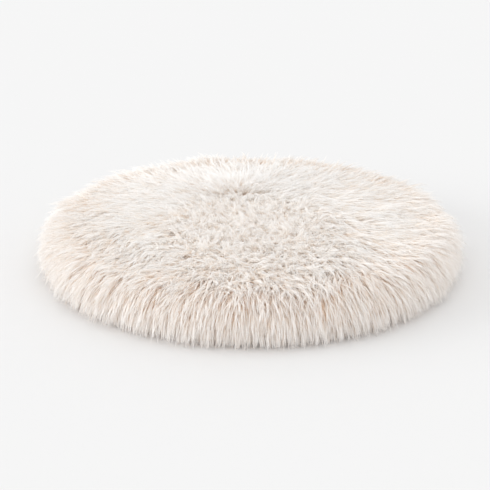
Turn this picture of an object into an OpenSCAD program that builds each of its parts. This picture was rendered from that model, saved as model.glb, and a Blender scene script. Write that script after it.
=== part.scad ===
// Round long-pile pet cushion bed: a zipped plush cover over a separate inner cushion.
// Millimetres, +Z up. The origin is the centre of the underside, on the surface it rests on.
// The zip runs along X across the underside, behind the centre, in a recess that keeps its
// slider and pull tab off the floor.

/* [Overall size] */
// Diameter over the tips of the pile
bed_d = 500; // [460:5:620]
// Height over the tips of the pile
bed_h = 68; // [64:1:84]

/* [Cover] */
// Depth of the pile at the rim
rim_pile = 30; // [22:1:34]
// Depth of the pile on top
top_pile = 20; // [14:1:24]
// Thickness of the knit backing and of the bottom fabric
cover_t = 1.2; // [0.8:0.1:1.4]
// Height of the seam that joins the top of the cover to its bottom
seam_z = 7; // [5:0.5:10]

/* [Inner cushion] */
// Thickness of the liner cloth
liner_t = 0.8; // [0.5:0.1:1.2]
// Space between the cover and the liner
liner_gap = 1.0; // [0.9:0.1:1.6]
// Diameter of the sewing thread
thread_d = 0.6; // [0.4:0.1:0.8]

/* [Zip] */
// Distance of the zip behind the centre
zip_y = 60; // [30:1:70]
// How much of the flat underside's width the zip takes
zip_reach = 1; // [0.7:0.05:1]
// Length of the pull tab from its pivot to its free end
tab_l = 24; // [18:1:24]
// Width of the pull tab
tab_w = 7; // [6:0.5:9]

/* [Hidden] */
$fn = 96;
front = -1;
rear = 1;
closed_end = 1;
open_end = -1;
past = 5;  // how far a cutting solid runs past what it cuts

// Cover: the backing and the bottom panels are one shell with a half-round rim
cover_d = bed_d - 2 * rim_pile;
cover_h = bed_h - top_pile;
rim_r = cover_h / 2;             // radius of the shell's rim
rim_ring_r = cover_d / 2 - rim_r;  // radius of the circle that the rim's centre runs round
pile_lift = 0.5;                 // the lowest tips stop this far above the floor
pile_gap = 0.3;                  // space between the pile's solid and the backing

// Inner cushion, measured inwards from the outside of the cover
liner_inset = cover_t + liner_gap;
fill_gap = 0.2;
fill_inset = liner_inset + liner_t + fill_gap;
liner_seam_z = cover_h / 2;

// Zip chain, in heights above the floor
tape_z = 7.5;       // underside of the tapes
tape_t = 0.6;
coil_r = 1.3;
coil_z = tape_z + tape_t / 2;
coil_gap = 1.6;     // clear space between the two coils, which the slider's neck runs in
coil_y = coil_gap / 2 + coil_r;      // from the zip's centre line to a coil's axis
tape_inner_y = coil_y + coil_r;
tape_outer_y = 14;

// Zip slider and pull tab
slider_l = 12;
slider_w = 10;
plate_t = 1.2;
plate_corner_r = 7;               // the plates' ends are arcs of this radius
chamber_h = 2 * coil_r + 0.6;     // inside height between the slider's two plates
chamber_z = coil_z - chamber_h / 2;
lip_w = 0.8;                      // width of the lips down the slider's two sides
lip_slot = 1.4;                   // slot between the lips, which a tape runs in
neck_w = 0.9;
neck_l = 3;
arch_z = chamber_z - plate_t;     // underside of the lower plate, where the arch starts
arch_r = 4.2;
arch_t = 0.9;
arch_w = 2;
tab_t = 1.4;
tab_clear = 0.3;                  // between the tab's crossbar and the arch
tab_z = arch_z - arch_r + arch_t + tab_clear + tab_t / 2;
eye_l = 5.5;                      // from the pivot to the far edge of the tab's eye
eye_w = arch_w + 1.6;
tab_hole_r = 1.5;

// The bottom panels are folded into a recess round the zip, and the liner folds over the recess
recess_w = 2 * tape_outer_y;
hem_w = 6;
hem_t = 1;
fold_clear = 1.5;
fold_w = recess_w + 2 * (hem_t + fold_clear);
fold_z = chamber_z + chamber_h + plate_t + fold_clear;

// The slider is at slider_x when the zip is closed and at -slider_x when it is open, as far out
// as the fold's corners can go on the flat of the underside, in steps of 5 mm
recess_clear = 2;                 // between the tab's free end and the end of the recess
fold_far_y = zip_y + fold_w / 2;
flat_half_l = sqrt(rim_ring_r * rim_ring_r - fold_far_y * fold_far_y);
recess_room = flat_half_l - hem_t - fold_clear;
slider_x = 5 * floor((zip_reach * recess_room - tab_l - recess_clear) / 5);
recess_l = 2 * (slider_x + tab_l + recess_clear);
fold_l = recess_l + 2 * (hem_t + fold_clear);

// Stops, coils and tapes
stop_l = 3;
stop_clear = 1;                   // between a stop and the slider at the end of its travel
stop_x = slider_x + slider_l / 2 + stop_clear;
coil_l = 2 * stop_x;
tape_l = recess_l - hem_w;

// Stitches down the hem and bar tacks across the ends of the zip
stitch_l = 2.8;
stitch_pitch = 4;
stitch_y = tape_outer_y - hem_w / 2;
stitch_count = floor((recess_l - 2 * hem_w) / stitch_pitch);
tack_w = 12;
tack_l = 2.5;
tack_x = stop_x + 2 * stop_l;

// A box centred on the zip's line, from one height to another
module zip_box(length, width, low, high) {
    translate([-length / 2, zip_y - width / 2, low])
        cube([length, width, high - low]);
}

// Half of the profile of a flat cushion whose rim is half round
module cushion_profile(ring_r, radius, middle_z) {
    translate([ring_r, middle_z])
        circle(r = radius);
    translate([0, middle_z - radius])
        square([ring_r, 2 * radius]);
}

module cushion_solid(ring_r, radius, middle_z) {
    rotate_extrude()
        cushion_profile(ring_r, radius, middle_z);
}

// The cover's outer solid, moved inwards by inset
module cover_solid(inset) {
    cushion_solid(rim_ring_r, rim_r - inset, rim_r);
}

// Everything between two heights
module slab(low, high) {
    translate([0, 0, low])
        cylinder(d = bed_d + 2 * past, h = high - low);
}

module cover_shell() {
    difference() {
        cover_solid(0);
        cover_solid(cover_t);
    }
}

// The half of the space in front of the zip, or behind it
module beside_zip(side) {
    far = bed_d;
    translate([-far, side == front ? zip_y - 2 * far : zip_y, -past])
        cube([2 * far, 2 * far, bed_h]);
}

// A ring of thread round the centre
module thread_ring(ring_r, height) {
    rotate_extrude()
        translate([ring_r, height])
            circle(d = thread_d, $fn = 24);
}

module fur_pile() {
    pile_r = (bed_h - pile_lift) / 2;
    color("linen")
        difference() {
            cushion_solid(bed_d / 2 - pile_r, pile_r, bed_h - pile_r);
            cover_solid(-pile_gap);
        }
}

module fur_backing() {
    color("antiquewhite")
        intersection() {
            cover_shell();
            slab(seam_z, bed_h);
        }
}

// Both bottom panels with the recess and hem round the zip, before they are parted
module bottom_cloth() {
    difference() {
        union() {
            intersection() {
                cover_shell();
                slab(-past, seam_z);
            }
            zip_box(recess_l + 2 * hem_t, recess_w + 2 * hem_t, 0, tape_z);
        }
        zip_box(recess_l, recess_w, -past, tape_z - hem_t);
        zip_box(recess_l - 2 * hem_w, recess_w - 2 * hem_w, -past, bed_h);
    }
}

module bottom_panel(side) {
    color("wheat")
        intersection() {
            bottom_cloth();
            beside_zip(side);
        }
}

// The thread that joins the top to the bottom lies inside the cover, along the seam
module rim_seam_thread() {
    thread_r = rim_r - cover_t - liner_gap / 2;
    drop = rim_r - seam_z;
    color("ivory")
        thread_ring(rim_ring_r + sqrt(thread_r * thread_r - drop * drop), seam_z);
}

module zip_tape(side) {
    tape_w = tape_outer_y - tape_inner_y;
    low_y = side == front ? -tape_outer_y : tape_inner_y;
    color("oldlace")
        translate([-tape_l / 2, zip_y + low_y, tape_z])
            cube([tape_l, tape_w, tape_t]);
}

module zip_coil(side) {
    color("cornsilk")
        translate([-coil_l / 2, zip_y + side * coil_y, coil_z])
            rotate([0, 90, 0])
                cylinder(r = coil_r, h = coil_l);
}

module slider_plate(low) {
    translate([0, 0, low])
        linear_extrude(plate_t)
            intersection() {
                square([slider_l, slider_w], center = true);
                circle(r = plate_corner_r);
            }
}

// The lips fold down from one plate and up from the other, and leave a slot for the tape
module slider_lips() {
    lip_l = 0.7 * slider_l;
    for (side = [-1, 1])
        translate([-lip_l / 2, side * (slider_w - lip_w) / 2 - lip_w / 2, chamber_z])
            cube([lip_l, lip_w, chamber_h]);
}

// The arch under the lower plate, which the tab's crossbar hangs in
module slider_arch() {
    translate([0, 0, arch_z])
        rotate([90, 0, 0])
            linear_extrude(arch_w, center = true)
                difference() {
                    circle(r = arch_r);
                    circle(r = arch_r - arch_t);
                    translate([-arch_r, 0])
                        square([2 * arch_r, arch_r]);
                }
}

module zip_slider() {
    slot_low = coil_z - lip_slot / 2;
    color("silver")
        translate([slider_x, zip_y, 0]) {
            difference() {
                slider_lips();
                translate([-slider_l / 2, -slider_w, slot_low])
                    cube([slider_l, 2 * slider_w, lip_slot]);
            }
            slider_plate(arch_z);
            slider_plate(chamber_z + chamber_h);
            translate([slider_l / 2 - neck_l - 1, -neck_w / 2, chamber_z])
                cube([neck_l, neck_w, chamber_h]);
            slider_arch();
        }
}

// The tab lies flat towards the closed end and swings on its crossbar
module zip_pull_tab() {
    color("silver")
        translate([slider_x, zip_y, tab_z])
            difference() {
                union() {
                    rotate([90, 0, 0])
                        cylinder(d = tab_t, h = tab_w, center = true);
                    translate([0, -tab_w / 2, -tab_t / 2])
                        cube([tab_l - tab_w / 2, tab_w, tab_t]);
                    translate([tab_l - tab_w / 2, 0, -tab_t / 2])
                        cylinder(d = tab_w, h = tab_t);
                }
                translate([tab_t / 2, -eye_w / 2, -tab_t])
                    cube([eye_l - tab_t / 2, eye_w, 2 * tab_t]);
                translate([tab_l - tab_w / 2, 0, -tab_t])
                    cylinder(r = tab_hole_r, h = 2 * tab_t);
            }
}

// A metal block that closes both ends of the coils, with a slot down each side for a tape
module zip_stop(end) {
    slot_d = 0.8;
    slot_clear = 0.1;
    centre_x = end * (stop_x + stop_l / 2);
    color("silver")
        translate([centre_x, 0, 0])
            difference() {
                zip_box(stop_l, 2 * (tape_inner_y + slot_d), chamber_z, chamber_z + chamber_h);
                for (side = [front, rear])
                    translate([0, side * (tape_inner_y + past / 2), 0])
                        zip_box(stop_l + past, past, tape_z - slot_clear, tape_z + tape_t + slot_clear);
            }
}

// Dense stitching that holds the two tapes together at each end of the zip
module zip_bar_tacks() {
    color("ivory")
        for (end = [closed_end, open_end])
            translate([end * tack_x, 0, 0])
                zip_box(tack_l, tack_w, tape_z - thread_d, tape_z);
}

// One row of stitches on the underside of the hem
module zip_stitching(side) {
    first_x = -(stitch_count - 1) * stitch_pitch / 2;
    hem_z = tape_z - hem_t;
    color("ivory")
        for (i = [0 : stitch_count - 1])
            translate([first_x + i * stitch_pitch, zip_y + side * stitch_y, hem_z - thread_d / 2])
                rotate([0, 90, 0])
                    cylinder(d = thread_d, h = stitch_l, center = true, $fn = 24);
}

// The inner cushion's outside, moved inwards from the cover by inset, with a fold for the zip
module inner_cushion(inset) {
    grow = inset - liner_inset;
    difference() {
        cover_solid(inset);
        zip_box(fold_l + 2 * grow, fold_w + 2 * grow, -past, fold_z + grow);
    }
}

module liner_half(low, high) {
    color("white")
        intersection() {
            difference() {
                inner_cushion(liner_inset);
                inner_cushion(liner_inset + liner_t);
            }
            slab(low, high);
        }
}

module liner_seam_thread() {
    color("white")
        thread_ring(cover_d / 2 - cover_t - liner_gap / 2, liner_seam_z);
}

module fibre_fill() {
    color("snow")
        inner_cushion(fill_inset);
}

fur_pile();
fur_backing();
bottom_panel(front);  // bottom_panel_front
bottom_panel(rear);  // bottom_panel_rear
rim_seam_thread();
zip_tape(front);  // zip_tape_front
zip_tape(rear);  // zip_tape_rear
zip_coil(front);  // zip_coil_front
zip_coil(rear);  // zip_coil_rear
zip_slider();
zip_pull_tab();
zip_stop(closed_end);  // zip_stop_closed_end
zip_stop(open_end);  // zip_stop_open_end
zip_bar_tacks();
zip_stitching(front);  // zip_stitching_front
zip_stitching(rear);  // zip_stitching_rear
liner_half(liner_seam_z, bed_h);  // liner_top
liner_half(-past, liner_seam_z);  // liner_bottom
liner_seam_thread();
fibre_fill();
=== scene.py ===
"""A round long-pile pet cushion: the looks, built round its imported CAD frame. Metres, +Z up."""

import math

import bmesh
import bpy
import numpy as np
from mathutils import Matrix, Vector
from mathutils.bvhtree import BVHTree
from mathutils.kdtree import KDTree


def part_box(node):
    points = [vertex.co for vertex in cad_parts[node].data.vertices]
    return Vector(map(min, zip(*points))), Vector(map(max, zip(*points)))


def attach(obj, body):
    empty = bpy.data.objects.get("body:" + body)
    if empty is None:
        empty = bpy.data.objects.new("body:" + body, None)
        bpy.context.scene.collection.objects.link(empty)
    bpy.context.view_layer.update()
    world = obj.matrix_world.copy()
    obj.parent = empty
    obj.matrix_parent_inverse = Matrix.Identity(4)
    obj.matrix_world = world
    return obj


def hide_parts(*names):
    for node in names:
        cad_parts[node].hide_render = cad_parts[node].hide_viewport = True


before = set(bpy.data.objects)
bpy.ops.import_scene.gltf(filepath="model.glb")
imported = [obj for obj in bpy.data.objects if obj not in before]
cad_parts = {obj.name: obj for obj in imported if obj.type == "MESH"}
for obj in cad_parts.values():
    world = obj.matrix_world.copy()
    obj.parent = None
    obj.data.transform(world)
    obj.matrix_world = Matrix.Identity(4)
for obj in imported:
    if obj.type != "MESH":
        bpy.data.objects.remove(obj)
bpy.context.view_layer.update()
random = np.random.default_rng(75)

MM = 0.001
MAP = "OFBake"
BODY = "cushion"
FRONT, REAR = -1, 1

# A smooth random field: how many waves it sums, their lengths as shares of the one asked for, and how
# many standard deviations of the sum count as 1
WAVES = 7
WAVE_LENGTHS = (0.7, 1.5)
WAVE_SPAN = 1.6

# The cover: a flat top and underside, a half round rim, and the seam low on the rim
PILE_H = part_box("fur_pile")[1].z
backing_low, backing_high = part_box("fur_backing")
COVER_H = backing_high.z
RIM_R = COVER_H / 2
RING_R = backing_high.x - RIM_R
SEAM_Z = backing_low.z
COVER_T = 1.2 * MM

# The inner cushion, which is the fill in its liner
LINER_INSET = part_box("liner_bottom")[0].z
LINER_T = 0.8 * MM
FILL_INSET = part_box("fibre_fill")[0].z
FILL_LUMP = 0.6 * MM
FILL_LUMP_GAP = 30 * MM

# The zip, the recess round it, and the liner's fold over it
tape_low, tape_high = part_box("zip_tape_front")
ZIP_Y = (tape_high.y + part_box("zip_tape_rear")[0].y) / 2
HEM_W = 6 * MM
HEM_T = 1 * MM
HEM_TOP = tape_low.z
RECESS_HALF_W = ZIP_Y - tape_low.y
RECESS_HALF_L = tape_high.x + HEM_W / 2
FOLD_CLEAR = 1.5 * MM
FOLD_GROW = HEM_T + FOLD_CLEAR
FOLD_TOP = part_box("zip_slider")[1].z + FOLD_CLEAR
FOLD_ROWS = 5
HEM_ROWS = 4
COIL_THREAD_R = 0.32 * MM
COIL_PITCH = 1.5 * MM
COIL_POINTS = 10
COIL_SIDES = 5
NEVER_ALONG = np.array([0.0, 0.3, 1.0])
TAPE_COLUMNS = 174
TAPE_ROWS = 7

# Distances along the cover's surface from the middle of its top, over the rim and underneath
RIM_L = RIM_R * (math.pi / 2 + math.asin((RIM_R - SEAM_Z) / RIM_R))
COVER_SEAM_AT = RING_R + RIM_L
LINER_SEAM_AT = RING_R + RIM_R * math.pi / 2
UNDERSIDE_AT = RING_R + RIM_R * math.pi
SEAM_RING_R = RING_R + math.sqrt(RIM_R**2 - (RIM_R - SEAM_Z) ** 2)

# How finely the cloth pieces are divided
HALF_POINTS = 150
SHARE = np.linspace(0, 1, HALF_POINTS + 1)
TOP_ROWS = 36
RIM_ROWS = 14
FLAT_ROWS = 24

# The pressure simulation of the inner cushion
SWELL_VOXEL = 6 * MM
SWELL_START = 1.5 * MM
SWELL_CAP = 6 * MM
SWELL_FRAMES = 20
SWELL_QUALITY = 6
SWELL_PRESSURE = 4
SWELL_TENSION = 40
SWELL_COMPRESSION = 20
SWELL_BENDING = 2
SWELL_ROWS = 96
SWELL_COLUMNS = 180
SWELL_LUMP = 1.2 * MM
SWELL_LUMP_GAP = 80 * MM

# The underside's printed grip dots
DOT_R = 1.6 * MM
DOT_H = 0.5 * MM
DOT_PITCH = 12 * MM
DOT_SIDES = 8
DOT_SUNK = 0.1 * MM
DOT_SHOULDER_R = 0.75 * DOT_R
DOT_SHOULDER_H = 0.2 * DOT_H

# The pile. It lies outwards from a whorl behind the middle, and is curly in front of the whorl. The
# curly part is an oval, and fades between two shares of its size.
WHORL = np.array([-14 * MM, 55 * MM])
WHORL_THICK_R = 45 * MM
WHORL_UPRIGHT_R = 35 * MM
WHORL_RUFFLED_R = 25 * MM
WHORL_SHORT_R = 100 * MM
WHORL_REACH = 130 * MM
CURLS = np.array([-2 * MM, -70 * MM])
CURLS_R = np.array([95 * MM, 115 * MM])
CURLS_END, CURLS_FULL = 1.2, 0.5
EDGE_FROM = RING_R - 45 * MM
EDGE_TO = RING_R + 20 * MM

# Clumps of strands, tufts of clumps, and the small tufts where the pile is curly. The points of a
# spread stray from their even places by up to these shares of the gap, round and along the cover.
CLUMP_GAP = 2.7 * MM
TUFT_GAP = 11 * MM
CURL_GAP = 5.5 * MM
SPREAD_ROUND, SPREAD_ALONG = 0.35, 0.4
MIN_CIRCLE_R = 4 * MM

# The strands: how many, the shares that are undercoat or stray from their clump, and their shape
STRANDS = 130000
UNDER_SHARE = 0.27
LOOSE_SHARE = 0.05
SECTORS = 16
PILE_L = 36 * MM
STRAND_R = 0.33 * MM
STRAND_RINGS = 3
STRAND_SIDES = 3
TAPER = np.array([1.0, 0.95, 0.7])
OFF_NORMAL = 0.013

# How much thicker the pile stands where it is curly, and at the whorl
THICKER_CURLY, THICKER_WHORL = 1.1, 1.4

# Shares of the pile's length: at the whorl, less where it is curly or at the edge, and from strand
# to strand, for a whole clump, for a full strand and for a short one of the undercoat
LENGTH_AT_WHORL = 0.8
SHORTER_CURLY, SHORTER_EDGE = 0.24, 0.08
LENGTH_OF_CLUMP = (0.76, 1.1)
LENGTH_OF_FULL = (0.8, 1.06)
LENGTH_OF_UNDER = (0.45, 0.7)

# The lie of the pile: the strength and size of each swing, how it is ruffled, how much of it is left
# in the curly part beside the small tufts, how much of it turns down on the steep rim, and how it
# turns out below that
SWINGS = [(0.28, 95 * MM), (0.2, 32 * MM)]
RUFFLE, RUFFLE_EDGE, RUFFLE_CURLY, RUFFLE_WHORL = 0.22, 0.12, 0.24, 0.8
CURLY_LEFT, CURLY_TUFTED = 0.2, 1.2
STEEP_LOSS, STEEP_DOWN = 0.85, 1.1
UNDER_RIM_OUT, UNDER_RIM_STEEP = 0.6, 0.8

# How a clump falls and curls along its length, and how its strands gather, stray and frizz
FALL, FALL_CURLY, FALL_JITTER = 0.7, 0.7, 0.12
CURL, CURL_CURLY = 0.2, 0.45
CLUMP_R = 0.62 * CLUMP_GAP
GATHER, GATHER_LESS_CURLY, GATHER_LOOSE = (0.55, 0.9), 0.35, 0.15
TUFT_PULL = 0.18
STRAY, STRAY_LOOSE = 0.7 * MM, 3 * MM
FRIZZ, FRIZZ_CURLY = 0.45 * MM, 0.8 * MM

# How far the pile leans from upright, in degrees
LEAN_WHORL, LEAN_FAR, LEAN_CURLY = 44, 70, 38
LEAN_SWING, LEAN_SWING_SIZE = 3, 45 * MM
LEAN_JITTER, LEAN_JITTER_EDGE = 5, 4
LEAN_LESS_AT_WHORL = 24

# Where the pile's outside is: clear of the floor, and under a ceiling that drops towards the rim. What
# stands above the ceiling is pressed down by a share of its height there.
FLOOR_GAP = 0.4 * MM
CEILING = PILE_H + 3 * MM
CEILING_DROP = 16 * MM
CEILING_DROP_FROM = RING_R - 20 * MM
PRESSED_SHARE = 0.7

# The pile's map: lanes from the palest tone to the warmest, and the margins left empty in a lane. How
# warm a strand is, as a share of the way across the lanes: a base tone, a random tone, and painted warm
# shade, most on the rim, where the pile turns down into shade, and less in the curly middle. And the
# relief of its fibres.
TONES = 64
TONE_MARGIN = 0.1
LENGTH_MARGIN = 0.02
WARM, WARM_JITTER, WARM_RIM_SHADE, WARM_CURLY_SHADE = 0.04, 0.22, 0.6, 0.55
# where the painted warm shade on the rim starts, and where it is full
RIM_SHADE_FROM = RING_R - 80 * MM
RIM_SHADE_TO = RING_R + 25 * MM
FIBRE_SCALES = 60
FIBRE_BUMP = 0.02 * MM

# Wear on every cloth and metal finish: how large its clouds are, and the tone of a worn place
WEAR_SIZE = 30 * MM
WEAR_DETAIL = 5
WORN = (0.93, 0.925, 0.92)

# The stage: a pale floor, an even sky of nearly its brightness, and soft suns as name, direction that
# the light comes from, strength, and width in degrees
FLOOR_R = 60
FLOOR_TONE = 0.81
SKY = 0.92
SUNS = [
    ("overhead", Vector((0.15, 0.1, 1.0)), 0.42, 60),
    ("window", Vector((-0.9, -0.1, 0.17)), 1.4, 40),
]

# The camera: the photo's angle above the floor, and the point it looks at
CAMERA_UP = math.radians(22)
CAMERA_FAR = 1.075
CAMERA_AT = Vector((-6.5 * MM, 0, PILE_H / 2 - 23 * MM))
LENS = 70
SENSOR_W = 36
LIGHT_BOUNCES = 20
DIFFUSE_BOUNCES = 16


# ---------------------------------------------------------------- numbers over arrays


def unit(vectors):
    """The vectors with a length of 1."""
    return vectors / np.maximum(np.linalg.norm(vectors, axis=-1, keepdims=True), 1e-9)


def smooth(low, high, x):
    """From 0 at low to 1 at high, easing in and out. low may be the higher of the two."""
    t = np.clip((x - low) / (high - low), 0, 1)
    return t * t * (3 - 2 * t)


def waves(points, length):
    """A smooth random value from about -1 to 1 at each point, whose hills are about length apart."""
    total = np.zeros(len(points))
    for _ in range(WAVES):
        way = random.normal(size=points.shape[1])
        way *= 2 * math.pi / (length * random.uniform(*WAVE_LENGTHS) * np.linalg.norm(way))
        total += np.sin(points @ way + random.uniform(0, 2 * math.pi))
    return total / math.sqrt(WAVES / 2) / WAVE_SPAN


# ---------------------------------------------------------------- the cover's surface


def swell_at(swell, along, angle):
    """The swell at points on the cover, read between the rows and columns of its grid."""
    row = np.clip(along / LINER_SEAM_AT, 0, 1) * (SWELL_ROWS - 1)
    column = (angle / (2 * math.pi) % 1) * SWELL_COLUMNS
    top = np.minimum(row.astype(int), SWELL_ROWS - 2)
    left = column.astype(int) % SWELL_COLUMNS
    right = (left + 1) % SWELL_COLUMNS
    down = row - top
    across = column - np.floor(column)
    upper = swell[top, left] * (1 - across) + swell[top, right] * across
    lower = swell[top + 1, left] * (1 - across) + swell[top + 1, right] * across
    return upper * (1 - down) + lower * down


def ground(along, angle, inset, swell):
    """Points and normals on the cover moved inwards by inset, by distance from its top and angle."""
    over = np.clip(along - RING_R, 0, None) / RIM_R
    r = np.minimum(along, RING_R) + (RIM_R - inset) * np.sin(over)
    z = RIM_R + (RIM_R - inset) * np.cos(over)
    cos, sin = np.cos(angle), np.sin(angle)
    points = np.stack([r * cos, r * sin, z], -1)
    normals = np.stack([np.sin(over) * cos, np.sin(over) * sin, np.cos(over)], -1)
    return points + normals * swell_at(swell, along, angle)[..., None], normals


# ---------------------------------------------------------------- the layers of cloth and fill


def half_ring(side, along, inset, swell):
    """A ring's front or rear half, from one end of the zip's line to the other."""
    r = RING_R + RIM_R * math.sin(np.clip((along - RING_R) / RIM_R, 0, math.pi))
    start = math.asin(ZIP_Y / np.clip(r, RING_R, SEAM_RING_R))
    last = math.pi - start if side == REAR else -math.pi - start
    angle = start + (last - start) * SHARE
    return ground(np.full(len(angle), along), angle, inset, swell)[0]


def half_slot(side, half_l, half_w, z):
    """Half of a rectangle round the zip's line."""
    at = SHARE * 2 * (half_l + half_w)
    x = np.clip(half_l + half_w - at, -half_l, half_l)
    y = np.minimum(np.minimum(at, at[::-1]), half_w)
    return np.stack([x, ZIP_Y + side * y, np.full(len(x), z)], -1)


def whole(rows_of_side):
    """Closed rings from the matching front and rear halves."""
    front, rear = np.array(rows_of_side(FRONT)), np.array(rows_of_side(REAR))
    return np.concatenate([front, rear[:, -2:0:-1]], 1)


def between(first, last, count):
    """Rows in even steps from one row up to another, which is left out."""
    return [first + (last - first) * t for t in np.linspace(0, 1, count, endpoint=False)]


def flat_rows(side, foot, inset, swell):
    """Rows on the flat underside, from the foot of the recess out to the rim."""
    return between(foot, half_ring(side, UNDERSIDE_AT, inset, swell), FLAT_ROWS)


def rim_rows(side, low, high, inset, swell):
    """Rows on the rim between two distances along the cover."""
    return [half_ring(side, along, inset, swell) for along in np.linspace(low, high, RIM_ROWS)]


def top_rows(side, inset, swell):
    """Rows from the edge of the flat top in to its middle."""
    places = np.linspace(RING_R, 0, TOP_ROWS)[1:]
    return [half_ring(side, along, inset, swell) for along in places]


def under_rows(side, inset, swell):
    """Rows of the inner cushion from the top of its fold down, and out to the rim."""
    grow = FOLD_GROW + inset - LINER_INSET
    half_l, half_w = RECESS_HALF_L + grow, RECESS_HALF_W + grow
    top = FOLD_TOP + inset - LINER_INSET
    middle = half_slot(side, half_l - half_w, 0.0, top)
    edge = half_slot(side, half_l, half_w, top)
    foot = half_slot(side, half_l, half_w, inset)
    fold = between(middle, edge, FOLD_ROWS) + between(edge, foot, FOLD_ROWS)
    return fold + flat_rows(side, foot, inset, swell)


def inner_cushion(inset, swell):
    """Closed rings over the whole of the inner cushion, from its fold to the middle of its top."""
    def rows(side):
        rim = rim_rows(side, UNDERSIDE_AT, LINER_SEAM_AT, inset, swell)
        rim += rim_rows(side, LINER_SEAM_AT, RING_R, inset, swell)[1:]
        return under_rows(side, inset, swell) + rim + top_rows(side, inset, swell)
    return whole(rows)


def grid_mesh(name, rows, around=False, loop=False, gap=None, caps=False):
    """A mesh of quads over rows of points. around joins each row's ends, and loop joins the last row
    to the first. No quads follow the row at gap. caps closes the ends of a sheet's two faces."""
    rows = np.asarray(rows)
    count, across = rows.shape[:2]
    work = bmesh.new()
    corners = [work.verts.new(p) for p in rows.reshape(-1, 3)]
    layer = work.loops.layers.uv.new(MAP)

    def quad(places):
        face = work.faces.new([corners[(row % count) * across + column % across] for row, column in places])
        face.smooth = True
        for corner, (row, column) in zip(face.loops, places):
            corner[layer].uv = (column / across, row / count)

    for row in range(count if loop else count - 1):
        if row != gap:
            for column in range(across if around else across - 1):
                quad([(row, column), (row, column + 1), (row + 1, column + 1), (row + 1, column)])
    if caps:
        for row in range(count // 2 - 1):
            for column in (0, across - 1):
                quad([(row, column), (row + 1, column), (count - 2 - row, column), (count - 1 - row, column)])
    bmesh.ops.remove_doubles(work, verts=work.verts, dist=MM / 1000)
    bmesh.ops.recalc_face_normals(work, faces=work.faces)
    mesh = bpy.data.meshes.new(name)
    work.to_mesh(mesh)
    work.free()
    return mesh


def shell_mesh(name, outside, inside, around, pole=False):
    """A sheet with a thickness, between two sets of rows."""
    rows = np.concatenate([outside, inside[::-1]])
    gap = len(outside) - 1 if pole else None
    return grid_mesh(name, rows, around=around, loop=True, gap=gap, caps=not around)


def tube_mesh(name, path, radius, sides):
    """A closed round tube along a path that has no stretch along NEVER_ALONG."""
    tangent = unit(np.gradient(path, axis=0))
    side = unit(np.cross(tangent, NEVER_ALONG))
    other = np.cross(tangent, side)
    turn = 2 * math.pi * np.arange(sides)[None, :, None] / sides
    rows = path[:, None] + radius * (np.cos(turn) * side[:, None] + np.sin(turn) * other[:, None])
    ends = [np.repeat(path[end][None, None], sides, 1) for end in (0, -1)]
    return grid_mesh(name, np.concatenate([ends[0], rows, ends[1]]), around=True)


def add_piece(name, mesh, node, material):
    """A piece in place of a CAD node, with its finish."""
    mesh.materials.append(material)
    piece = bpy.data.objects.new(name, mesh)
    bpy.context.scene.collection.objects.link(piece)
    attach(piece, BODY)
    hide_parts(node)
    return piece


# ---------------------------------------------------------------- the inner cushion under pressure


def remeshed(mesh):
    """A linked object of the mesh, in even quads."""
    body = bpy.data.objects.new("swell", mesh)
    bpy.context.scene.collection.objects.link(body)
    body.data.remesh_voxel_size = SWELL_VOXEL
    bpy.context.view_layer.objects.active = body
    body.select_set(True)
    bpy.ops.object.voxel_remesh()
    return body


def add_cloth(body):
    """Cloth that is held below the liner's seam and blown out above it."""
    held = body.vertex_groups.new(name="held")
    held.add([v.index for v in body.data.vertices if v.co.z < RIM_R], 1.0, "REPLACE")
    settings = body.modifiers.new("cloth", "CLOTH").settings
    settings.quality = SWELL_QUALITY
    settings.vertex_group_mass = "held"
    settings.use_pressure = True
    settings.uniform_pressure_force = SWELL_PRESSURE
    settings.effector_weights.gravity = 0
    settings.tension_stiffness = SWELL_TENSION
    settings.compression_stiffness = SWELL_COMPRESSION
    settings.bending_stiffness = SWELL_BENDING


def points_of(mesh):
    """The places of the mesh's vertices, one row each."""
    places = np.zeros(len(mesh.vertices) * 3)
    mesh.vertices.foreach_get("co", places)
    return places.reshape(-1, 3)


def simulate_swell():
    """How far the cover stands out over the filled cushion, as rows by distance and columns by angle."""
    swell = np.zeros((SWELL_ROWS, SWELL_COLUMNS))
    body = remeshed(grid_mesh("swell", inner_cushion(LINER_INSET + SWELL_START, swell), around=True))
    before = points_of(body.data)
    # small unevenness in the fill, so that the cloth doesn't blow up into a perfect dome
    lumps = SWELL_LUMP * waves(before, SWELL_LUMP_GAP)
    before[:, 2] += lumps * smooth(RIM_R, COVER_H, before[:, 2])
    body.data.vertices.foreach_set("co", before.ravel())
    add_cloth(body)
    scene = bpy.context.scene
    for step in range(1, SWELL_FRAMES + 1):
        scene.frame_set(step)
    after = points_of(body.evaluated_get(bpy.context.evaluated_depsgraph_get()).data)
    move = after - before
    move *= SWELL_CAP / max(SWELL_CAP, np.linalg.norm(move, axis=1).max())
    faces = [list(face.vertices) for face in body.data.polygons]
    tree = BVHTree.FromPolygons([Vector(p) for p in before + move], faces)
    scene.frame_set(1)
    bpy.data.objects.remove(body)

    along = np.linspace(0, LINER_SEAM_AT, SWELL_ROWS)
    angle = np.arange(SWELL_COLUMNS) * 2 * math.pi / SWELL_COLUMNS
    along_all, angle_all = (grid.ravel() for grid in np.meshgrid(along, angle, indexing="ij"))
    places, normals = ground(along_all, angle_all, LINER_INSET, swell)
    far = 2 * SWELL_CAP
    for index, (place, normal) in enumerate(zip(places, normals)):
        hit = tree.ray_cast(Vector(place + normal * far), Vector(-normal), 2 * far)
        swell.flat[index] = far - hit[3] if hit[0] else 0.0
    return swell * smooth(LINER_SEAM_AT, RING_R + RIM_R, along)[:, None]


# ---------------------------------------------------------------- the cloth pieces


def upper_rows(seam_at, inset, swell):
    """Closed rings from a seam on the rim up to the middle of the top."""
    def rows(side):
        return rim_rows(side, seam_at, RING_R, inset, swell) + top_rows(side, inset, swell)
    return whole(rows)


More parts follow.
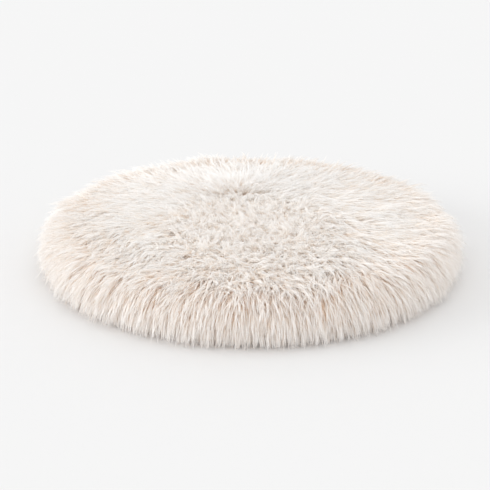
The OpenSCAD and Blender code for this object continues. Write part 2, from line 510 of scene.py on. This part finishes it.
def lower_rows(seam_at, inset, swell):
    """Closed rings from a seam on the rim down to the top of the inner cushion's fold."""
    def rows(side):
        return under_rows(side, inset, swell) + rim_rows(side, UNDERSIDE_AT, seam_at, inset, swell)
    return whole(rows)[::-1]


def make_backing(swell):
    """The knitted backing that the pile grows from."""
    outside, inside = (upper_rows(COVER_SEAM_AT, inset, swell) for inset in (0.0, COVER_T))
    mesh = shell_mesh("knit_backing", outside, inside, around=True, pole=True)
    piece = add_piece("knit_backing", mesh, "fur_backing", knit_material())


def make_liner(swell):
    """The liner's two halves, sewn together round the middle of the rim."""
    material = liner_material()
    halves = [
        ("liner_case_top", "liner_top", upper_rows),
        ("liner_case_bottom", "liner_bottom", lower_rows),
    ]
    for name, node, rows in halves:
        outside = rows(LINER_SEAM_AT, LINER_INSET, swell)
        inside = rows(LINER_SEAM_AT, LINER_INSET + LINER_T, swell)
        mesh = shell_mesh(name, outside, inside, around=True, pole=True)
        piece = add_piece(name, mesh, node, material)


def make_fill(swell):
    """The loose fibre, pressed into soft lumps a little inside the liner."""
    rows = inner_cushion(FILL_INSET, swell)
    points = rows.reshape(-1, 3)
    lump = FILL_LUMP * (1 + np.clip(waves(points, FILL_LUMP_GAP), -1, 1))
    points[:, 2] += np.where(points[:, 2] > RIM_R, -lump, lump)
    mesh = grid_mesh("fibre_filling", rows, around=True)
    piece = add_piece("fibre_filling", mesh, "fibre_fill", fluff_material())


def grip_dots():
    """Centres of the dots on the flat of the underside, in staggered rows, clear of the zip."""
    reach = int(RING_R / DOT_PITCH) + 1
    rise = DOT_PITCH * math.sqrt(3) / 2
    centres = []
    for row in range(-2 * reach, 2 * reach):
        for column in range(-reach, reach + 1):
            x = (column + 0.5 * (row % 2)) * DOT_PITCH
            y = row * rise
            from_zip = abs(y - ZIP_Y)
            by_zip = abs(x) < RECESS_HALF_L + 2 * DOT_R and from_zip < RECESS_HALF_W + 2 * DOT_R
            on_flat = math.hypot(x, y) < RING_R - 2 * DOT_R
            if on_flat and not by_zip and from_zip > 2 * DOT_R:
                centres.append((x, y))
    return np.array(centres)


def add_dots(panel, side):
    """Rubber dots printed on a bottom panel, down to the floor, for the panel's second material."""
    work = bmesh.new()
    work.from_mesh(panel)
    layer = work.loops.layers.uv[MAP]
    turns = 2 * math.pi * np.arange(DOT_SIDES) / DOT_SIDES

    def ring(x, y, r, z):
        return [work.verts.new((x + r * math.cos(turn), y + r * math.sin(turn), z)) for turn in turns]

    for x, y in grip_dots():
        if (y - ZIP_Y) * side > 0:
            base = ring(x, y, DOT_R, DOT_H + DOT_SUNK)
            shoulder = ring(x, y, DOT_SHOULDER_R, DOT_SHOULDER_H)
            tip = work.verts.new((x, y, 0.0))
            for k in range(DOT_SIDES):
                after = (k + 1) % DOT_SIDES
                flank = [base[after], base[k], shoulder[k], shoulder[after]]
                for corners in (flank, [shoulder[after], shoulder[k], tip]):
                    face = work.faces.new(corners)
                    face.material_index = 1
                    face.smooth = True
                    for corner in face.loops:
                        corner[layer].uv = (0.5 + corner.vert.co.x, 0.5 + corner.vert.co.y)
    work.to_mesh(panel)
    work.free()


def panel_rows(side, inset, hem_z, swell):
    """Rows of a bottom panel, from the lip of its hem down into the recess's foot and out to the seam."""
    grow = inset - DOT_H
    half_l, half_w = RECESS_HALF_L + grow, RECESS_HALF_W + grow
    lip = half_slot(side, RECESS_HALF_L - HEM_W, RECESS_HALF_W - HEM_W, hem_z)
    fold = half_slot(side, half_l, half_w, hem_z)
    foot = half_slot(side, half_l, half_w, inset)
    turned_up = between(lip, fold, HEM_ROWS) + between(fold, foot, HEM_ROWS)
    rim = rim_rows(side, UNDERSIDE_AT, COVER_SEAM_AT, inset, swell)
    return turned_up + flat_rows(side, foot, inset, swell) + rim


def make_panels(swell):
    """The two bottom panels, each turned up into the recess and hemmed along the zip."""
    material, dot_material = bottom_material(), grip_material()
    panels = [
        (FRONT, "bottom_cloth_front", "bottom_panel_front"),
        (REAR, "bottom_cloth_rear", "bottom_panel_rear"),
    ]
    for side, name, node in panels:
        outside = np.array(panel_rows(side, DOT_H, HEM_TOP - HEM_T, swell))
        inside = np.array(panel_rows(side, COVER_T, HEM_TOP, swell))
        mesh = shell_mesh(name, outside, inside, around=False)
        add_dots(mesh, side)
        piece = add_piece(name, mesh, node, material)
        mesh.materials.append(dot_material)


def make_tapes():
    """The zip's two woven tapes."""
    material = tape_material()
    for name, node in [("zip_tape_woven_front", "zip_tape_front"), ("zip_tape_woven_rear", "zip_tape_rear")]:
        low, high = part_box(node)
        x = np.linspace(low.x, high.x, TAPE_COLUMNS)
        widths = np.linspace(low.y, high.y, TAPE_ROWS)
        under, over = (
            [np.stack([x, np.full_like(x, y), np.full_like(x, z)], -1) for y in widths]
            for z in (low.z, high.z)
        )
        piece = add_piece(name, shell_mesh(name, under, over, around=False), node, material)


def make_coils():
    """The zip's two coils of moulded nylon thread."""
    material = coil_material()
    for name, node in [("zip_coil_wound_front", "zip_coil_front"), ("zip_coil_wound_rear", "zip_coil_rear")]:
        low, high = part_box(node)
        length = high.x - low.x - 2 * COIL_THREAD_R
        radius = (high.z - low.z) / 2 - COIL_THREAD_R
        turns = round(length / COIL_PITCH)
        t = np.linspace(0, 1, turns * COIL_POINTS + 1)
        spin = 2 * math.pi * turns * t
        path = np.stack([
            low.x + COIL_THREAD_R + length * t,
            (low.y + high.y) / 2 + radius * np.cos(spin),
            (low.z + high.z) / 2 + radius * np.sin(spin),
        ], -1)
        mesh = tube_mesh(name, path, COIL_THREAD_R, COIL_SIDES)
        add_piece(name, mesh, node, material)


# ---------------------------------------------------------------- the pile


def spread(gap):
    """Distances and angles of points about gap apart all over the backing, off an even grid."""
    along, angle = [], []
    for ring in range(int(COVER_SEAM_AT / gap) + 1):
        s = min((ring + 0.5) * gap, COVER_SEAM_AT)
        r = min(s, RING_R) + RIM_R * math.sin(max(s - RING_R, 0) / RIM_R)
        count = max(3, round(2 * math.pi * r / gap))
        turn = random.uniform(0, 2 * math.pi)
        steps = np.arange(count) + random.uniform(-SPREAD_ROUND, SPREAD_ROUND, count)
        angle.append(turn + 2 * math.pi * steps / count)
        along.append(s + gap * random.uniform(-SPREAD_ALONG, SPREAD_ALONG, count))
    return np.clip(np.concatenate(along), 0, COVER_SEAM_AT), np.concatenate(angle)


def nearest(points, targets):
    """The index of the nearest target to each point."""
    tree = KDTree(len(targets))
    for i, target in enumerate(targets):
        tree.insert(target, i)
    tree.balance()
    return np.array([tree.find(p)[1] for p in points])


def column(values):
    """One value for each point, ready to scale the point's vectors."""
    return values[:, None]


def lie_of_pile(roots, normals, angle, curly, edge, distance):
    """The way that the pile lies at each root, before it leans, over the backing's surface."""
    flat = np.zeros_like(angle)
    out = np.stack([np.cos(angle), np.sin(angle), flat], -1)
    steep = np.linalg.norm(normals[:, :2], axis=1)
    down = np.concatenate([column(normals[:, 2]) * out[:, :2], -column(steep)], 1)
    from_whorl = np.concatenate([roots[:, :2] - WHORL, column(flat)], 1)

    swing = sum(strength * waves(roots, size) for strength, size in SWINGS)
    lie = unit(from_whorl)
    lie = lie + column(swing) * np.stack([-lie[:, 1], lie[:, 0], flat], -1)
    tufted = np.stack([waves(roots, CURL_GAP), waves(roots, CURL_GAP), flat], -1)
    lie = lie * column(1 - (1 - CURLY_LEFT) * curly) + CURLY_TUFTED * column(curly) * tufted
    ruffle = RUFFLE + RUFFLE_EDGE * edge + RUFFLE_CURLY * curly
    ruffle += RUFFLE_WHORL * smooth(WHORL_RUFFLED_R, 0, distance)
    lie += column(ruffle) * random.normal(size=lie.shape)
    lie = lie - np.sum(lie * normals, 1, keepdims=True) * normals
    lie = unit(unit(lie) * column(1 - STEEP_LOSS * steep) + down * column(STEEP_DOWN * steep))
    return lie, out, steep


def lean_of_pile(roots, curly, edge, distance):
    """How far the pile leans at each root, in radians."""
    lean = LEAN_WHORL + (LEAN_FAR - LEAN_WHORL) * smooth(0, WHORL_REACH, distance)
    lean = lean * (1 - curly) + LEAN_CURLY * curly
    lean += LEAN_SWING * waves(roots, LEAN_SWING_SIZE)
    lean += (LEAN_JITTER + LEAN_JITTER_EDGE * edge) * random.normal(size=len(lean))
    lean -= LEAN_LESS_AT_WHORL * smooth(WHORL_UPRIGHT_R, 0, distance)
    return np.radians(lean)


def guides(swell):
    """One curve for each clump: its points, its place on the backing, and how curly the pile is there."""
    along, angle = spread(CLUMP_GAP)
    roots, normals = ground(along, angle, 0.0, swell)
    curly = smooth(CURLS_END, CURLS_FULL, np.linalg.norm((roots[:, :2] - CURLS) / CURLS_R, axis=1))
    edge = smooth(EDGE_FROM, EDGE_TO, along)
    distance = np.linalg.norm(roots[:, :2] - WHORL, axis=1)

    lie, out, steep = lie_of_pile(roots, normals, angle, curly, edge, distance)
    lean = lean_of_pile(roots, curly, edge, distance)
    way = column(np.cos(lean)) * normals + column(np.sin(lean)) * lie
    # the pile under the rim turns out from it, because the floor is in its way
    under_rim = smooth(UNDER_RIM_STEEP, 1, steep) * smooth(RIM_R, SEAM_Z, roots[:, 2])
    way = unit(way + UNDER_RIM_OUT * column(under_rim) * out)

    length = PILE_L * (LENGTH_AT_WHORL + (1 - LENGTH_AT_WHORL) * smooth(0, WHORL_SHORT_R, distance))
    length *= 1 - SHORTER_CURLY * curly - SHORTER_EDGE * edge
    length *= random.uniform(*LENGTH_OF_CLUMP, len(way))
    fall = FALL + FALL_CURLY * curly + FALL_JITTER * random.normal(size=len(way))
    curl = column(CURL + CURL_CURLY * curly) * random.normal(size=way.shape)
    points = [roots]
    for step in range(STRAND_RINGS):
        t = (step + 0.5) / STRAND_RINGS
        bent = way + t * curl
        bent[:, 2] -= t * fall
        points.append(points[-1] + unit(bent) * column(length / STRAND_RINGS))
    return np.stack(points, 1), along, angle, curly


def tuft_pull(guide, swell):
    """From each clump's curve towards the middle of the curves in its tuft."""
    along, angle = spread(TUFT_GAP)
    tuft = nearest(guide[:, 0], ground(along, angle, 0.0, swell)[0])
    total = np.zeros((len(along), *guide.shape[1:]))
    np.add.at(total, tuft, guide)
    clumps = np.maximum(np.bincount(tuft, minlength=len(along)), 1)
    return (total / clumps[:, None, None])[tuft] - guide


def strands(swell):
    """Each strand's centre line, its normal at the root, its tone with painted shade, and its clump's angle.
    """
    guide, guide_along, guide_angle, curly = guides(swell)
    pull = tuft_pull(guide, swell)

    # the pile is thicker where it stands up, or its roots would show
    from_whorl = np.linalg.norm(guide[:, 0, :2] - WHORL, axis=1)
    chance = 1 + THICKER_CURLY * curly + THICKER_WHORL * smooth(WHORL_THICK_R, 0, from_whorl)
    owner = random.choice(len(guide), STRANDS, p=chance / chance.sum())
    curly = curly[owner]
    under = random.random(STRANDS) < UNDER_SHARE
    loose = under | (random.random(STRANDS) < LOOSE_SHARE)
    turn = random.uniform(0, 2 * math.pi, STRANDS)
    reach = CLUMP_R * np.sqrt(random.random(STRANDS))
    along = np.clip(guide_along[owner] + reach * np.cos(turn), 0, COVER_SEAM_AT)
    around = np.maximum(np.minimum(along, RING_R), MIN_CIRCLE_R)
    angle = guide_angle[owner] + reach * np.sin(turn) / around
    roots, normals = ground(along, angle, 0.0, swell)
    offset = roots - guide[owner, 0]

    def each(values):
        return values[:, None, None]

    t = np.linspace(0, 1, STRAND_RINGS + 1)[None, :, None]
    gathered = random.uniform(*GATHER, STRANDS) - GATHER_LESS_CURLY * curly
    together = each(np.where(loose, GATHER_LOOSE, gathered))
    short = random.uniform(*LENGTH_OF_UNDER, STRANDS)
    full = random.uniform(*LENGTH_OF_FULL, STRANDS)
    line = guide[owner] + TUFT_PULL * t**1.5 * pull[owner]
    line = line[:, :1] + (line - line[:, :1]) * each(np.where(under, short, full))
    line += offset[:, None] * (1 - together * t**0.9)
    line += each(np.where(loose, STRAY_LOOSE, STRAY)) * t**1.3 * random.normal(size=(STRANDS, 1, 3))
    line += each(FRIZZ + FRIZZ_CURLY * curly) * random.normal(size=line.shape) * t
    soften(line, t)

    # painted warm shade: strands on the rim, and a lesser share in the curly middle, are tinted warmer and
    # darker, as if in shade
    rim = smooth(RIM_SHADE_FROM, RIM_SHADE_TO, along)
    warmth_and_painted_shade = WARM + WARM_JITTER * random.random(STRANDS)
    warmth_and_painted_shade += WARM_RIM_SHADE * np.maximum(rim, WARM_CURLY_SHADE * curly) * random.uniform(0.6, 1, STRANDS)
    tone = (warmth_and_painted_shade * (TONES - 1)).astype(int)
    return line, normals, tone, guide_angle[owner] % (2 * math.pi)


def soften(line, t):
    """Lowers what stands out of the pile, and lifts what would go into the floor."""
    far = np.linalg.norm(line[:, :, :2], axis=2)
    ceiling = CEILING - CEILING_DROP * smooth(CEILING_DROP_FROM, RING_R + RIM_R, far)
    line[:, :, 2] -= PRESSED_SHARE * np.maximum(line[:, :, 2] - ceiling, 0)
    line[:, :, 2] = np.maximum(line[:, :, 2], FLOOR_GAP + STRAND_R * (1 - t[:, :, 0]))


def strand_faces():
    """The triangles of one closed strand, and the place of each corner across and up it."""
    faces, across, up = [], [], []
    for ring in range(STRAND_RINGS - 1):
        for k in range(STRAND_SIDES):
            a = STRAND_SIDES * ring + k
            b = STRAND_SIDES * ring + (k + 1) % STRAND_SIDES
            faces += [(a, b, b + STRAND_SIDES), (a, b + STRAND_SIDES, a + STRAND_SIDES)]
            across += [(k, k + 1, k + 1), (k, k + 1, k)]
            up += [(ring, ring, ring + 1), (ring, ring + 1, ring + 1)]
    last = STRAND_RINGS - 1
    tip = STRAND_SIDES * STRAND_RINGS
    for k in range(STRAND_SIDES):
        faces.append((STRAND_SIDES * last + k, STRAND_SIDES * last + (k + 1) % STRAND_SIDES, tip))
        across.append((k, k + 1, k + 0.5))
        up.append((last, last, STRAND_RINGS))
    # the root's end, which lies flat on the map
    faces.append((0, 2, 1))
    across.append((0, 2, 1))
    up.append((0, 0, 0.3))
    return np.array(faces), np.array(across) / STRAND_SIDES, np.array(up) / STRAND_RINGS


def strand_mesh(name, line, normals, tone):
    """One mesh of closed strands that taper to a point."""
    count, rings, sides = len(line), STRAND_RINGS, STRAND_SIDES
    tangent = unit(np.gradient(line, axis=1))[:, :rings]
    # a strand may stand exactly along its normal, so that is moved off a little
    side = unit(np.cross(tangent, normals[:, None, :] + OFF_NORMAL))[:, :, None]
    other = np.cross(tangent, side[:, :, 0])[:, :, None]
    start = random.uniform(0, 2 * math.pi, count)[:, None, None, None]
    turn = start + 2 * math.pi * np.arange(sides)[None, None, :, None] / sides
    radius = STRAND_R * TAPER[None, :, None, None]
    ring = line[:, :rings, None] + radius * (np.cos(turn) * side + np.sin(turn) * other)
    points = np.concatenate([ring.reshape(count, rings * sides, 3), line[:, rings:]], 1)

    faces, across, up = strand_faces()
    per = points.shape[1]
    corners = (faces[None] + per * np.arange(count)[:, None, None]).ravel().astype(np.int32)
    starts = np.arange(0, len(corners), 3, dtype=np.int32)
    mesh = bpy.data.meshes.new(name)
    mesh.vertices.add(count * per)
    mesh.vertices.foreach_set("co", points.astype(np.float32).ravel())
    mesh.loops.add(len(corners))
    mesh.loops.foreach_set("vertex_index", corners)
    mesh.polygons.add(len(starts))
    mesh.polygons.foreach_set("loop_start", starts)

    layer = mesh.uv_layers.new(name=MAP)
    u = (tone[:, None, None] + TONE_MARGIN + (1 - 2 * TONE_MARGIN) * across[None]) / TONES
    v = np.broadcast_to(LENGTH_MARGIN + (1 - 2 * LENGTH_MARGIN) * up[None], u.shape)
    layer.uv.foreach_set("vector", np.stack([u, v], -1).astype(np.float32).ravel())
    mesh.update(calc_edges=True)
    mesh.validate()
    mesh.shade_flat()
    return mesh


# ---------------------------------------------------------------- materials


def new_material(name):
    """A material with nodes, its tree and its shader."""
    material = bpy.data.materials.new(name)
    material.use_nodes = True
    return material, material.node_tree, material.node_tree.nodes["Principled BSDF"]


def ramp(tree, source, stops):
    """A colour that goes through the stops, each a place and a colour, with the source."""
    node = tree.nodes.new("ShaderNodeValToRGB")
    while len(node.color_ramp.elements) < len(stops):
        node.color_ramp.elements.new(0.5)
    for element, (place, colour) in zip(node.color_ramp.elements, stops):
        element.position = place
        element.color = (*colour, 1)
    tree.links.new(source, node.inputs["Fac"])
    return node.outputs["Color"]


def value_ramp(tree, source, low, high):
    """A value that goes from low to high with the source."""
    node = tree.nodes.new("ShaderNodeMapRange")
    node.inputs["To Min"].default_value = low
    node.inputs["To Max"].default_value = high
    tree.links.new(source, node.inputs["Value"])
    return node.outputs["Result"]


def multiply(tree, first, second, share=None):
    """The product of two colours, of which the second may count only in part."""
    node = tree.nodes.new("ShaderNodeMix")
    node.data_type = "RGBA"
    node.blend_type = "MULTIPLY"
    node.inputs["Factor"].default_value = 1.0
    tree.links.new(first, node.inputs["A"])
    tree.links.new(second, node.inputs["B"])
    if share:
        tree.links.new(share, node.inputs["Factor"])
    return node.outputs["Result"]


def combined(tree, operation, first, second):
    """Two values put together with one operation."""
    node = tree.nodes.new("ShaderNodeMath")
    node.operation = operation
    tree.links.new(first, node.inputs[0])
    if isinstance(second, (int, float)):
        node.inputs[1].default_value = second
    else:
        tree.links.new(second, node.inputs[1])
    return node.outputs[0]


def place(tree, stretch=(1, 1, 1)):
    """The point on the piece, which may be scaled along each axis."""
    source = tree.nodes.new("ShaderNodeTexCoord")
    node = tree.nodes.new("ShaderNodeMapping")
    node.inputs["Scale"].default_value = stretch
    tree.links.new(source.outputs["Object"], node.inputs["Vector"])
    return node.outputs["Vector"]


def noise(tree, size, detail=2, stretch=(1, 1, 1)):
    """A cloudy value whose clouds are about size across."""
    node = tree.nodes.new("ShaderNodeTexNoise")
    node.inputs["Scale"].default_value = 1 / size
    node.inputs["Detail"].default_value = detail
    tree.links.new(place(tree, stretch), node.inputs["Vector"])
    return node.outputs["Fac"]


def bands(tree, direction, pitch, bend=0.0):
    """Ribs across one axis, pitch apart. A Blender wave repeats every 2 pi / 20 at a scale of 1."""
    node = tree.nodes.new("ShaderNodeTexWave")
    node.bands_direction = direction
    node.inputs["Scale"].default_value = math.pi / (10 * pitch)
    node.inputs["Distortion"].default_value = bend
    tree.links.new(place(tree), node.inputs["Vector"])
    return node.outputs["Fac"]


def add_bump(tree, height, shader, depth):
    """Relief on a finish, depth high."""
    bump = tree.nodes.new("ShaderNodeBump")
    bump.inputs["Distance"].default_value = depth
    tree.links.new(height, bump.inputs["Height"])
    tree.links.new(bump.outputs["Normal"], shader.inputs["Normal"])


def surface(name, height_of, colours, roughness, depth, metallic=0.0, sheen=0.0):
    """A finish whose colour and bump follow a height, and whose roughness and tone vary with wear."""
    material, tree, shader = new_material(name)
    height = height_of(tree)
    wear = noise(tree, WEAR_SIZE, WEAR_DETAIL)
    worn = ramp(tree, wear, [(0.3, WORN), (0.7, (1, 1, 1))])
    colour = ramp(tree, height, [(0, colours[0]), (1, colours[1])])
    tree.links.new(multiply(tree, colour, worn), shader.inputs["Base Color"])
    tree.links.new(value_ramp(tree, wear, *roughness), shader.inputs["Roughness"])
    add_bump(tree, height, shader, depth)
    shader.inputs["Metallic"].default_value = metallic
    shader.inputs["Sheen Weight"].default_value = sheen
    return material


def weave(pitch):
    """Threads over and under each other."""
    def height(tree):
        threads = combined(tree, "MAXIMUM", bands(tree, "X", pitch, 0.3), bands(tree, "Y", pitch, 0.3))
        return combined(tree, "MULTIPLY", threads, value_ramp(tree, noise(tree, 3 * pitch), 0.6, 1.1))
    return height


def knit(pitch):
    """Rows of loops."""
    def height(tree):
        loops = combined(tree, "MULTIPLY", bands(tree, "X", pitch, 1.2), bands(tree, "Y", 0.7 * pitch, 1.2))
        return combined(tree, "ADD", loops, value_ramp(tree, noise(tree, pitch), 0.0, 0.3))
    return height


def twist(pitch):
    """Plies that wind round a thread."""
    return lambda tree: combined(tree, "MAXIMUM", bands(tree, "DIAGONAL", pitch, 0.5), noise(tree, pitch))


def knit_material():
    """Cream knitted backing."""
    colours = ((0.88, 0.82, 0.75), (0.95, 0.92, 0.88))
    return surface("fur_backing", knit(1.4 * MM), colours, (0.8, 0.95), 0.4 * MM, sheen=0.2)


def liner_material():
    """White woven liner."""
    colours = ((0.82, 0.82, 0.80), (0.93, 0.93, 0.92))
    return surface("liner", weave(0.8 * MM), colours, (0.75, 0.9), 0.15 * MM, sheen=0.1)


def fluff_material():
    """White loose fibre."""
    def height(tree):
        return combined(tree, "ADD", noise(tree, 5 * MM, 6, (1, 1, 2)), noise(tree, 0.6 * MM, 3))
    colours = ((0.85, 0.85, 0.85), (0.96, 0.96, 0.96))
    return surface("fill", height, colours, (0.85, 0.98), 1.5 * MM, sheen=0.4)


def bottom_material():
    """Beige woven cloth of the underside."""
    colours = ((0.62, 0.57, 0.51), (0.82, 0.78, 0.72))
    return surface("bottom_fabric", weave(1.0 * MM), colours, (0.7, 0.9), 0.2 * MM, sheen=0.15)


def grip_material():
    """Grey-brown rubber of the grip dots."""
    def height(tree):
        return noise(tree, 0.5 * MM, 3)
    colours = ((0.42, 0.39, 0.35), (0.54, 0.51, 0.46))
    return surface("grip_dots", height, colours, (0.35, 0.5), 0.05 * MM)


def tape_material():
    """Woven zip tape, a little paler than the underside."""
    colours = ((0.74, 0.69, 0.62), (0.90, 0.86, 0.80))
    return surface("zip_tape", weave(0.7 * MM), colours, (0.65, 0.85), 0.12 * MM, sheen=0.1)


def coil_material():
    """Moulded nylon of the coils."""
    def height(tree):
        return noise(tree, 0.4 * MM, 2)
    colours = ((0.80, 0.76, 0.69), (0.90, 0.87, 0.81))
    return surface("zip_coil", height, colours, (0.3, 0.45), 0.02 * MM)


def thread_material():
    """Cream sewing thread."""
    colours = ((0.80, 0.75, 0.68), (0.95, 0.92, 0.87))
    return surface("thread", twist(0.5 * MM), colours, (0.55, 0.75), 0.08 * MM, sheen=0.1)


def metal_material():
    """Brushed nickel-coloured metal of the slider, tab and stops."""
    def height(tree):
        return noise(tree, 1.2 * MM, 4, (0.15, 1, 1))
    colours = ((0.55, 0.54, 0.52), (0.72, 0.71, 0.69))
    return surface("zip_metal", height, colours, (0.22, 0.42), 0.01 * MM, metallic=1.0)


def finish_cad_nodes():
    """The CAD nodes that stay get the finish of their thread or metal."""
    thread, metal = thread_material(), metal_material()
    finishes = {
        "rim_seam_thread": thread,
        "liner_seam_thread": thread,
        "zip_stitching_front": thread,
        "zip_stitching_rear": thread,
        "zip_bar_tacks": thread,
        "zip_slider": metal,
        "zip_pull_tab": metal,
        "zip_stop_closed_end": metal,
        "zip_stop_open_end": metal,
    }
    for node, material in finishes.items():
        for material_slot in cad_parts[node].material_slots:
            material_slot.material = material


def fur_material():
    """Cream fibres with painted warm shade towards the root, and warmer from lane to lane across the map."""
    material, tree, shader = new_material("fur")
    uv = tree.nodes.new("ShaderNodeUVMap")
    uv.uv_map = MAP
    split = tree.nodes.new("ShaderNodeSeparateXYZ")
    tree.links.new(uv.outputs["UV"], split.inputs["Vector"])
    # painted shade: the tan towards the root stands in for the shade deep in the pile
    length = ramp(tree, split.outputs["Y"], [
        (0.0, (0.93, 0.78, 0.63)),
        (0.3, (0.965, 0.915, 0.86)),
        (0.6, (0.984, 0.976, 0.967)),
        (1.0, (0.986, 0.985, 0.983)),
    ])
    tones_and_shade = ramp(tree, split.outputs["X"], [
        (0.0, (1, 1, 1)),
        (0.3, (0.985, 0.977, 0.968)),
        (1.0, (0.965, 0.90, 0.84)),
    ])
    # the lane's tint, random tone and painted shade alike, counts most at the root, where the pile is shaded
    share = value_ramp(tree, split.outputs["Y"], 1.0, 0.35)
    tree.links.new(multiply(tree, length, tones_and_shade, share), shader.inputs["Base Color"])
    tree.links.new(value_ramp(tree, split.outputs["Y"], 0.62, 0.5), shader.inputs["Roughness"])
    scales = tree.nodes.new("ShaderNodeTexNoise")
    scales.inputs["Scale"].default_value = FIBRE_SCALES
    tree.links.new(uv.outputs["UV"], scales.inputs["Vector"])
    add_bump(tree, scales.outputs["Fac"], shader, FIBRE_BUMP)
    shader.inputs["Specular IOR Level"].default_value = 0.3
    shader.inputs["Sheen Weight"].default_value = 0.15
    shader.inputs["Sheen Roughness"].default_value = 0.4
    return material


def make_fur(swell):
    """The pile, in sectors that are each one mesh."""
    material = fur_material()
    line, normals, tone, angle = strands(swell)
    order = np.argsort(angle)
    for sector, chosen in enumerate(np.array_split(order, SECTORS)):
        name = f"fur_pile_sector_{sector + 1:02d}"
        mesh = strand_mesh(name, line[chosen], normals[chosen], tone[chosen])
        add_piece(name, mesh, "fur_pile", material)


# ---------------------------------------------------------------- stage


def make_stage():
    """The floor, the sky and the suns."""
    bpy.ops.mesh.primitive_circle_add(vertices=96, radius=FLOOR_R, fill_type="NGON")
    floor = bpy.context.object
    floor.name = "floor"
    material, _, shader = new_material("floor")
    shader.inputs["Roughness"].default_value = 0.9
    shader.inputs["Base Color"].default_value = (FLOOR_TONE, FLOOR_TONE, FLOOR_TONE, 1)
    shader.inputs["Specular IOR Level"].default_value = 0.0
    floor.data.materials.append(material)

    world = bpy.data.worlds.new("studio")
    bpy.context.scene.world = world
    world.use_nodes = True
    background = world.node_tree.nodes["Background"]
    background.inputs["Color"].default_value = (1, 1, 1, 1)
    background.inputs["Strength"].default_value = SKY

    for name, come_from, energy, angle in SUNS:
        light = bpy.data.lights.new(name, "SUN")
        light.angle = math.radians(angle)
        light.energy = energy
        sun = bpy.data.objects.new(name, light)
        sun.rotation_euler = (-come_from).to_track_quat("-Z", "Y").to_euler()
        bpy.context.scene.collection.objects.link(sun)


def make_camera():
    """The scene's camera, which sees the cushion as the photo does."""
    data = bpy.data.cameras.new("camera")
    data.lens = LENS
    data.sensor_width = SENSOR_W
    camera = bpy.data.objects.new("camera", data)
    back = Vector((0, -math.cos(CAMERA_UP), math.sin(CAMERA_UP)))
    camera.location = CAMERA_AT + back * CAMERA_FAR
    camera.rotation_euler = (-back).to_track_quat("-Z", "Y").to_euler()
    bpy.context.scene.collection.objects.link(camera)
    bpy.context.scene.camera = camera


make_camera()
make_stage()
swell = simulate_swell()
make_fill(swell)
make_liner(swell)
make_backing(swell)
make_panels(swell)
make_tapes()
make_coils()
make_fur(swell)
finish_cad_nodes()
bpy.context.scene.view_settings.view_transform = "Standard"
bpy.context.scene.cycles.max_bounces = LIGHT_BOUNCES
bpy.context.scene.cycles.diffuse_bounces = DIFFUSE_BOUNCES
